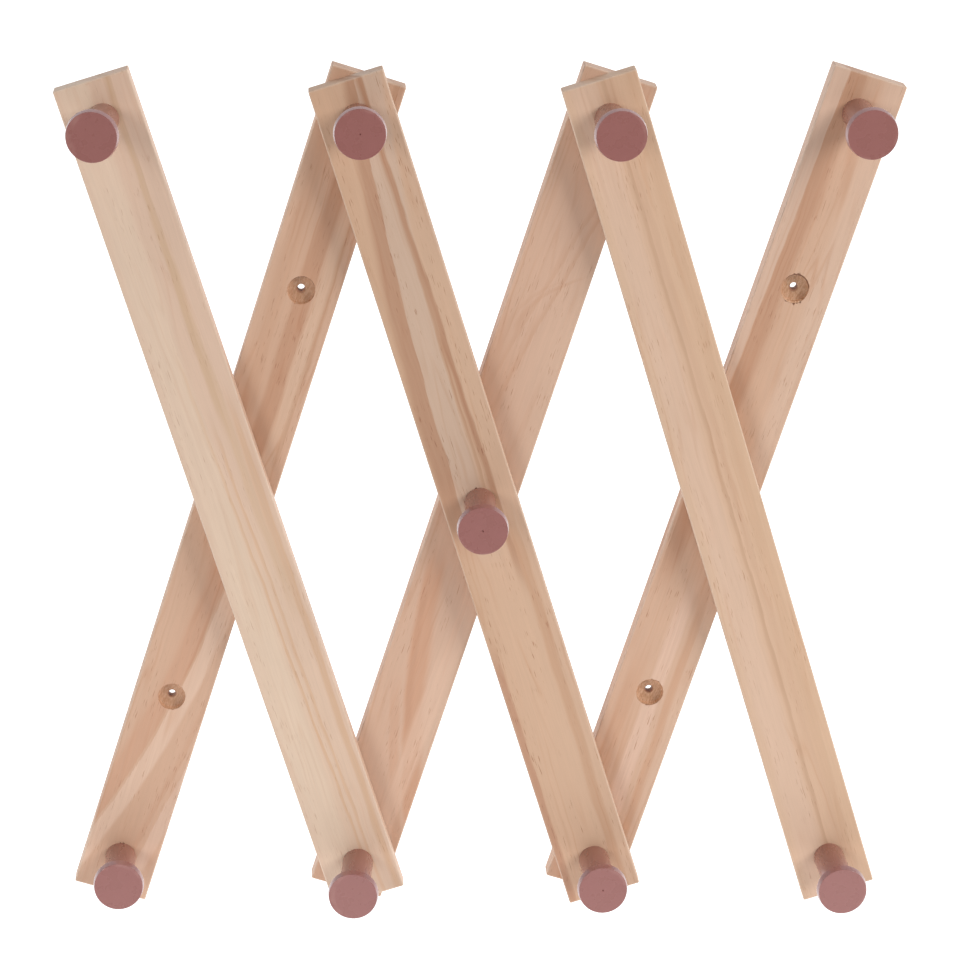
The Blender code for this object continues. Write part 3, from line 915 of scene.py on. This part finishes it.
    return {
        "front_slat_1": pine(
            "pine_cream", 1.0,
            [srgb(218, 190, 168), srgb(217, 188, 165), srgb(215, 185, 163)],
            plain, wander=0.8, lines=0.35, flecks=0.5),
        "front_slat_2": pine(
            "pine_banded", 2.0,
            [srgb(202, 165, 137), srgb(208, 173, 146), srgb(205, 170, 144)],
            banded, wander=0.6, lines=0.6, flecks=1.0),
        "front_slat_3": pine(
            "pine_even", 3.0,
            [srgb(213, 180, 154), srgb(212, 177, 150), srgb(212, 177, 148)],
            even, wander=0.8, lines=0.45, flecks=0.7),
        "back_slat_1": pine(
            "pine_streaked", 4.0,
            [srgb(208, 171, 146), srgb(206, 167, 141), srgb(208, 170, 145)],
            streaked, wander=0.8, lines=0.7, flecks=0.8, holes=0.75),
        "back_slat_2": pine(
            "pine_figured", 5.0,
            [srgb(208, 171, 147), srgb(209, 173, 150), srgb(211, 177, 154)],
            figured, wander=1.2, lines=0.6, flecks=0.8),
        "back_slat_3": pine(
            "pine_edged", 6.0,
            [srgb(208, 170, 145), srgb(209, 171, 145), srgb(212, 178, 154)],
            edged, wander=0.8, lines=0.6, flecks=0.8, holes=0.95),
    }


def build_slats():
    seat_only = peg_hole(True, False)
    seat_and_pocket = peg_hole(True, True)
    pocket_only = peg_hole(False, True)
    # Two seats are nicked at the top, where the drill tore the wood beside the stem.
    centre_nick = torn_mouth(2.0, 0.0, [(88, 4.5, 0.085)])
    bottom_nicks = torn_mouth(3.0, 0.0, [(107, 3.5, 0.075), (95, 4, 0.085)])
    wall_mouths = {
        (1, "upper"): torn_mouth(4.0, 0.04, [(95, 8, 0.03), (-100, 6, 0.04)]),
        (1, "lower"): torn_mouth(5.0, 0.03, [(60, 6, 0.04), (80, 6, 0.05), (-70, 7, 0.04)]),
        (3, "upper"): torn_mouth(6.0, 0.12, [(94, 8, 0.16), (112, 5, 0.08), (-76, 6, 0.18),
                                             (-51, 6, 0.14), (-64, 4, 0.10), (-108, 8, 0.09),
                                             (25, 12, 0.03)]),
        (3, "lower"): torn_mouth(7.0, 0.04, [(70, 7, 0.06), (100, 6, 0.04), (-85, 7, 0.06)]),
    }
    materials = pine_materials()
    for unit in (1, 2, 3):
        has_centre_peg = unit == 2
        node = f"front_slat_{unit}"
        holes = [
            (seat_and_pocket if unit == 1 else seat_only, PIVOT_REACH, None),
            (seat_and_pocket if unit == 3 else seat_only, -PIVOT_REACH, None),
            (pilot_hole(), 0.0, None),
        ]
        if has_centre_peg:
            holes[2] = (seat_only, 0.0, centre_nick)
        build_slat(node, -LEAN, holes, materials[node])
        node = f"back_slat_{unit}"
        holes = [
            (seat_and_pocket if unit == 3 else pocket_only, PIVOT_REACH, None),
            (pocket_only, -PIVOT_REACH, None),
            (pocket_only if has_centre_peg else pivot_bore(), 0.0, None),
        ]
        if unit == 1:
            holes[1] = (seat_and_pocket, -PIVOT_REACH, bottom_nicks)
        if not has_centre_peg:
            upper = WALL_HOLE_REACH + UPPER_WALL_HOLE_SHIFT
            holes.append((wall_hole(), upper, wall_mouths[unit, "upper"]))
            holes.append((wall_hole(), -WALL_HOLE_REACH, wall_mouths[unit, "lower"]))
        build_slat(node, LEAN, holes, materials[node])


# Each peg's place, how its stem leans to the right and upwards in degrees, and whether its
# flat end shows the lathe's centre mark
PEGS = (
    ("top_1", -5.0, 0.0, False),
    ("top_2", 0.5, 2.0, True),
    ("top_3", 2.5, 0.5, False),
    ("top_4", 1.5, -2.0, False),
    ("centre", -1.0, -1.5, True),
    ("bottom_1", 1.0, 2.5, False),
    ("bottom_2", -4.5, -0.5, False),
    ("bottom_3", 1.5, 2.0, True),
    ("bottom_4", 1.5, -1.0, False),
)


def build_pegs():
    paint = rose_paint()
    for place_name, lean_across, lean_up, has_centre_mark in PEGS:
        build_peg(place_name, lean_across, lean_up, has_centre_mark, paint)


def build_fixings():
    steel = zinc_steel()
    peg_screw = screw_mesh(PEG_SCREW_LENGTH)
    pivot_screw = screw_mesh(PIVOT_SCREW_LENGTH)
    washer = washer_mesh()
    for index, peg in enumerate(PEGS):
        place_name = peg[0]
        build_fixing("peg_screw_" + place_name, peg_screw, 37 * index, steel, False)
        build_fixing("peg_washer_" + place_name, washer, 61 * index, steel, True)
    for index, side in enumerate(("left", "right")):
        build_fixing("pivot_screw_" + side, pivot_screw, 20 + 50 * index, steel, False)
        build_fixing("pivot_washer_" + side, washer, 90 * index, steel, True)


# ---------------------------------------------------------------------------
# Studio
# ---------------------------------------------------------------------------


def softbox(name, place, size, power):
    """Hang a square area light that faces the rack."""
    data = bpy.data.lights.new(name, "AREA")
    data.shape = "RECTANGLE"
    data.size = data.size_y = size
    data.energy = power
    data.color = LIGHT_COLOUR
    lamp = bpy.data.objects.new(name, data)
    bpy.context.scene.collection.objects.link(lamp)
    lamp.location = place
    lamp.rotation_euler = (Vector(LIGHT_TARGET) - Vector(place)).to_track_quat("-Z", "Y").to_euler()


def build_studio():
    scene = bpy.context.scene
    scene.view_settings.view_transform = "Standard"
    world = bpy.data.worlds.new("studio")
    scene.world = world
    world.use_nodes = True
    background = world.node_tree.nodes["Background"]
    background.inputs["Color"].default_value = ROOM_COLOUR
    # The room is paler behind the rack than in front of it.
    direction = world.node_tree.nodes.new("ShaderNodeTexCoord")
    split = world.node_tree.nodes.new("ShaderNodeSeparateXYZ")
    level = world.node_tree.nodes.new("ShaderNodeMapRange")
    level.interpolation_type = "SMOOTHSTEP"
    levels = (0.0, ROOM_BACK_FROM, ROOM_LEVEL_FRONT, ROOM_LEVEL_BACK)
    for value, socket in zip(levels, level.inputs[1:]):
        socket.default_value = value
    world.node_tree.links.new(direction.outputs["Generated"], split.inputs[0])
    world.node_tree.links.new(split.outputs[1], level.inputs[0])
    world.node_tree.links.new(level.outputs[0], background.inputs["Strength"])

    floor_mesh = bpy.data.meshes.new("floor")
    plane = bmesh.new()
    bmesh.ops.create_grid(plane, x_segments=1, y_segments=1, size=FLOOR_HALF_SIZE)
    plane.to_mesh(floor_mesh)
    plane.free()
    floor = add_object("floor", floor_mesh)
    floor.location = (0, 0, FLOOR_HEIGHT)
    paper = Shader("white_paper")
    paper.set(Base_Color=(0.3, 0.3, 0.3, 1.0), Roughness=0.9, Specular_IOR_Level=0.1,
              Emission_Color=(0.98, 0.99, 1.0, 1.0))
    # It glows below and behind the rack, and is dark further forward.
    across = paper.node("SeparateXYZ")
    paper.link(paper.node("TexCoord").outputs["Object"], across.inputs[0])
    glow = paper.remap(across.outputs[1], FLOOR_GLOW_FROM, FLOOR_GLOW_FULL, 0.0, FLOOR_GLOW)
    paper.link(glow, paper.surface.inputs["Emission Strength"])
    floor.data.materials.append(paper.material)

    softbox("key_right", (2.15, -1.48, 1.48), 1.3, 58.0)
    softbox("key_left", (-2.03, -2.03, 0.91), 1.0, 27.0)

    lens = bpy.data.cameras.new("camera")
    lens.sensor_width = 36.0
    lens.lens = LENS_MM
    lens.clip_start = 0.05
    lens.clip_end = 60.0
    camera = bpy.data.objects.new("camera", lens)
    scene.collection.objects.link(camera)
    camera.matrix_world = (Matrix.Translation(CAMERA_PLACE)
                           @ Matrix.Rotation(math.radians(CAMERA_YAW), 4, "Z")
                           @ Matrix.Rotation(math.radians(90 + CAMERA_PITCH), 4, "X")
                           @ Matrix.Rotation(math.radians(CAMERA_ROLL), 4, "Z"))
    scene.camera = camera


build_slats()
build_pegs()
build_fixings()
build_studio()
